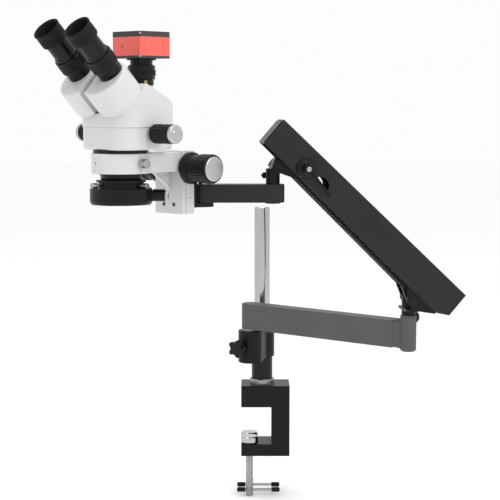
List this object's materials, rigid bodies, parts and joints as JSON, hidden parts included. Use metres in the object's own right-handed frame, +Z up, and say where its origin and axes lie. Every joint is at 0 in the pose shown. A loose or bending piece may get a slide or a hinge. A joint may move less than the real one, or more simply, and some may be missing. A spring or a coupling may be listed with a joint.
{
  "type": "stereo microscope",
  "caption": "Trinocular stereo microscope on a jointed spring arm with a bench clamp, a ring light and a camera on its photo port.",
  "frame": {"origin": "where the post's axis meets the underside of the clamp's upper jaw, which rests on the bench top", "axes": "+Z up along the post, +X towards the clamp's spine, +Y away from the microscope head"},
  "size_m": [0.5973, 0.4935, 0.751],
  "materials": {
    "black_paint": "satin black enamel",
    "dark_cover": "fine matte moulding",
    "grey_paint": "satin dark grey paint",
    "chrome_steel": "polished",
    "bright_steel": "turned and plated",
    "black_anodised": "black anodised",
    "rubber_black": "soft matte",
    "plastic_black": "moulded",
    "white_enamel": "glossy white enamel",
    "silver_anodised": "silver anodised",
    "red_shell": "red anodised",
    "plate_grey": "dark grey anodised",
    "lens_glass": "coated",
    "diffuser_white": "milky diffuser",
    "spring_steel": "oiled"
  },
  "bodies": {
    "clamp": {"clamp_body": "black_paint", "post": "bright_steel", "post_collar": "chrome_steel"},
    "screw_front": {"clamp_screw_front": "bright_steel"},
    "screw_rear": {"clamp_screw_rear": "bright_steel"},
    "pad_front": {"clamp_pad_front": "chrome_steel"},
    "pad_rear": {"clamp_pad_rear": "chrome_steel"},
    "bar_front": {"tommy_bar_front": "rubber_black"},
    "bar_rear": {"tommy_bar_rear": "rubber_black"},
    "sleeve": {"stop_sleeve": "black_anodised"},
    "bracket": {"post_bracket": "black_paint"},
    "bracket_knob": {"star_knob": "plastic_black"},
    "lower_arm": {"lower_arm": "grey_paint", "arm_pivot_pin": "bright_steel"},
    "elbow_knob": {"arm_lock_knob": "plastic_black"},
    "elbow": {"lower_yoke": "black_paint", "lower_yoke_pins": "bright_steel"},
    "spring_arm": {"spring_arm_spar": "black_paint", "spring_arm_cover": "dark_cover", "spring_arm_end_caps": "plastic_black", "balance_springs": "spring_steel", "tension_knob": "black_anodised"},
    "tension_lever": {"tension_lever": "black_paint"},
    "link": {"parallel_link": "black_paint"},
    "wrist": {"head_yoke": "black_paint", "head_yoke_fittings": "bright_steel"},
    "short_arm": {"short_arm": "dark_cover"},
    "focus_mount": {"mount_bracket": "bright_steel", "swivel_bolt": "bright_steel", "focus_base": "white_enamel"},
    "focus_drive": {"focus_pinion": "bright_steel", "focus_knobs": "plastic_black", "focus_knob_caps": "silver_anodised"},
    "carriage": {"focus_carriage": "white_enamel", "focus_rack": "bright_steel", "carriage_screws": "plate_grey", "ring_holder": "white_enamel"},
    "holder_screw": {"holder_thumbscrew": "bright_steel"},
    "microscope": {"zoom_housing": "white_enamel", "head_housing": "white_enamel", "nosepiece": "black_anodised", "objective_lens": "lens_glass"},
    "zoom": {"zoom_knobs": "plastic_black", "zoom_knob_caps": "silver_anodised"},
    "eye_left": {"prism_housing_left": "white_enamel", "eyepiece_left": "black_anodised", "eyecup_left": "rubber_black"},
    "eye_right": {"prism_housing_right": "white_enamel", "eyepiece_right": "black_anodised", "eyecup_right": "rubber_black"},
    "diopter_left": {"diopter_ring_left": "black_anodised"},
    "diopter_right": {"diopter_ring_right": "black_anodised"},
    "camera": {"camera_adapter": "black_anodised", "camera_shell": "red_shell", "camera_plates": "plate_grey"},
    "camera_ring": {"adapter_ring": "black_anodised"},
    "ring_lamp": {"ring_light": "plastic_black", "ring_light_diffuser": "diffuser_white", "ring_light_screws": "bright_steel", "ring_light_socket": "plastic_black"}
  },
  "joints": [
    {"name": "clamp_screw_travel_front", "type": "slide", "parent": "clamp", "child": "screw_front", "axis": [0, 0, 1], "range_m": [-0.001, 0.048]},
    {"name": "clamp_pad_swivel_front", "type": "hinge", "parent": "screw_front", "child": "pad_front", "pos_m": [-0.0205, -0.0155, -0.056], "axis": [0, 0, 1], "continuous": true},
    {"name": "tommy_bar_slide_front", "type": "slide", "parent": "screw_front", "child": "bar_front", "axis": [1, 0, 0], "range_m": [-0.029, 0.0007]},
    {"name": "clamp_screw_travel_rear", "type": "slide", "parent": "clamp", "child": "screw_rear", "axis": [0, 0, 1], "range_m": [-0.001, 0.048]},
    {"name": "clamp_pad_swivel_rear", "type": "hinge", "parent": "screw_rear", "child": "pad_rear", "pos_m": [-0.0205, 0.0155, -0.056], "axis": [0, 0, 1], "continuous": true},
    {"name": "tommy_bar_slide_rear", "type": "slide", "parent": "screw_rear", "child": "bar_rear", "axis": [1, 0, 0], "range_m": [-0.029, 0.0007]},
    {"name": "post_height", "type": "slide", "parent": "clamp", "child": "sleeve", "axis": [0, 0, 1], "range_m": [0, 0.185]},
    {"name": "post_swing", "type": "hinge", "parent": "sleeve", "child": "bracket", "pos_m": [0, 0, 0.105], "axis": [0, 0, 1], "continuous": true},
    {"name": "bracket_knob_turn", "type": "hinge", "parent": "bracket", "child": "bracket_knob", "pos_m": [-0.03675, -0.08006, 0.106], "axis": [-0.6018, -0.7986, 0], "range_deg": [-20, 180]},
    {"name": "lower_arm_swing", "type": "hinge", "parent": "bracket", "child": "lower_arm", "pos_m": [-0.0187, -0.0561, 0.15], "axis": [0, 0, 1], "range_deg": [-190, 75]},
    {"name": "elbow_knob_turn", "type": "hinge", "parent": "lower_arm", "child": "elbow_knob", "pos_m": [0.22036, -0.21209, 0.1755], "axis": [0.309, 0.9511, 0], "range_deg": [-20, 180]},
    {"name": "elbow_swing", "type": "hinge", "parent": "lower_arm", "child": "elbow", "pos_m": [0.21171, -0.23872, 0.17], "axis": [0, 0, 1], "range_deg": [-20, 150]},
    {"name": "arm_pitch", "type": "hinge", "parent": "elbow", "child": "spring_arm", "pos_m": [0.21388, -0.23841, 0.204], "axis": [-0.1392, 0.9903, 0], "range_deg": [-30, 10]},
    {"name": "link_pitch", "type": "hinge", "parent": "elbow", "child": "link", "pos_m": [0.24329, -0.23428, 0.2337], "axis": [-0.1392, 0.9903, 0], "range_deg": [-31, 11]},
    {"name": "wrist_level", "type": "hinge", "parent": "spring_arm", "child": "wrist", "pos_m": [0.01782, -0.26597, 0.40199], "axis": [-0.1392, 0.9903, 0], "range_deg": [-11, 31]},
    {"name": "tension_lever_turn", "type": "hinge", "parent": "spring_arm", "child": "tension_lever", "pos_m": [0.05918, -0.28691, 0.39902], "axis": [0.1392, -0.9903, 0], "range_deg": [-30, 120]},
    {"name": "short_arm_swing", "type": "hinge", "parent": "wrist", "child": "short_arm", "pos_m": [0.01287, -0.26666, 0.363], "axis": [0, 0, 1], "range_deg": [-30, 60]},
    {"name": "scope_swivel", "type": "hinge", "parent": "short_arm", "child": "focus_mount", "pos_m": [-0.08543, -0.26666, 0.346], "axis": [0, 0, 1], "range_deg": [-25, 30]},
    {"name": "focus_travel", "type": "slide", "parent": "focus_mount", "child": "carriage", "axis": [0, 0, 1], "range_m": [-0.018, 0.02]},
    {"name": "focus_turn", "type": "hinge", "parent": "focus_mount", "child": "focus_drive", "pos_m": [-0.12494, -0.27579, 0.4], "axis": [0.7314, -0.682, 0], "range_deg": [-240, 240]},
    {"name": "holder_screw_turn", "type": "hinge", "parent": "carriage", "child": "holder_screw", "pos_m": [-0.1609, -0.38474, 0.41], "axis": [0.7314, -0.682, 0], "range_deg": [-20, 180]},
    {"name": "scope_turn", "type": "hinge", "parent": "carriage", "child": "microscope", "pos_m": [-0.196, -0.352, 0.41], "axis": [0, 0, 1], "continuous": true},
    {"name": "zoom_turn", "type": "hinge", "parent": "microscope", "child": "zoom", "pos_m": [-0.18713, -0.34249, 0.45], "axis": [0.7314, -0.682, 0], "range_deg": [-135, 135]},
    {"name": "eye_spacing_left", "type": "hinge", "parent": "microscope", "child": "eye_left", "pos_m": [-0.19345, -0.38446, 0.4955], "axis": [-0.4822, -0.5171, 0.7071], "range_deg": [-9, 9]},
    {"name": "eye_spacing_right", "type": "hinge", "parent": "microscope", "child": "eye_right", "pos_m": [-0.22856, -0.35172, 0.4955], "axis": [-0.4822, -0.5171, 0.7071], "range_deg": [-9.5, 9.5]},
    {"name": "diopter_turn_left", "type": "hinge", "parent": "eye_left", "child": "diopter_left", "pos_m": [-0.21365, -0.41638, 0.54606], "axis": [-0.4822, -0.5171, 0.7071], "range_deg": [-150, 150]},
    {"name": "diopter_turn_right", "type": "hinge", "parent": "eye_right", "child": "diopter_right", "pos_m": [-0.25899, -0.3741, 0.54606], "axis": [-0.4822, -0.5171, 0.7071], "range_deg": [-150, 150]},
    {"name": "camera_turn", "type": "hinge", "parent": "microscope", "child": "camera", "pos_m": [-0.16906, -0.32311, 0.518], "axis": [0, 0, 1], "continuous": true},
    {"name": "camera_ring_turn", "type": "hinge", "parent": "camera", "child": "camera_ring", "pos_m": [-0.16906, -0.32311, 0.532], "axis": [0, 0, 1], "range_deg": [-150, 150]},
    {"name": "ring_lamp_turn", "type": "hinge", "parent": "microscope", "child": "ring_lamp", "pos_m": [-0.196, -0.352, 0.38], "axis": [0, 0, 1], "continuous": true}
  ],
  "couplings": [
    {"joint": "link_pitch", "follows": "arm_pitch", "ratio": 1},
    {"joint": "wrist_level", "follows": "arm_pitch", "ratio": -1},
    {"joint": "focus_turn", "follows": "focus_travel", "rad_per_m": -200},
    {"joint": "eye_spacing_right", "follows": "eye_spacing_left", "ratio": -1}
  ]
}
